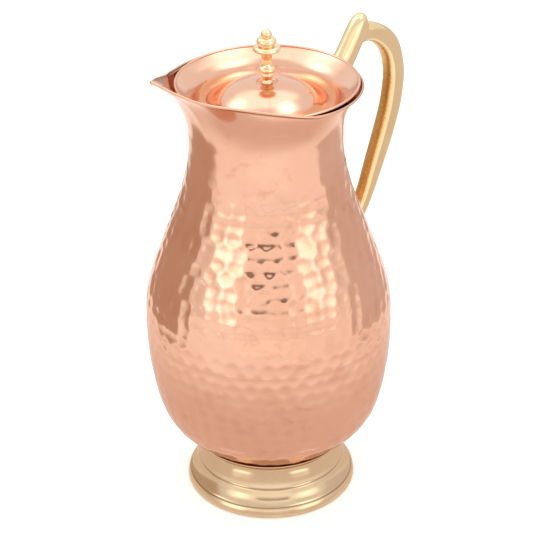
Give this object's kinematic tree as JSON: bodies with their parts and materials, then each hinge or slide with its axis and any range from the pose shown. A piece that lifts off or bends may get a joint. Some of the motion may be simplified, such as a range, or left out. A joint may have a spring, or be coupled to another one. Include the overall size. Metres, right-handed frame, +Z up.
{
  "type": "copper water jug",
  "caption": "Hammered copper water jug with a beak spout, a lift-off domed lid with a turned brass knob, a cast brass handle and a turned brass foot.",
  "frame": {"origin": "centre of the foot's resting plane, on the jug's upright axis", "axes": "+Z up along the jug's axis, +X towards the handle, -X towards the spout"},
  "size_m": [0.184, 0.14, 0.2832],
  "materials": {
    "copper": "polished copper, hammered below the neck",
    "brass": "polished brass, satin on the foot",
    "solder": "dull as-brazed filler"
  },
  "bodies": {
    "jug": {"upper_body": "copper", "lower_bowl": "copper", "belly_seam": "solder", "foot_ring": "brass", "foot_solder": "solder", "handle": "brass", "upper_rivets": "copper", "lower_rivets": "copper", "rivet_washers": "brass"},
    "lid": {"lid": "copper", "lid_knob": "brass", "knob_screw": "brass", "knob_washer": "brass"}
  },
  "joints": [
    {"name": "lid_lift", "type": "slide", "parent": "jug", "child": "lid", "axis": [0, 0, 1], "range_m": [0, 0.08]}
  ]
}
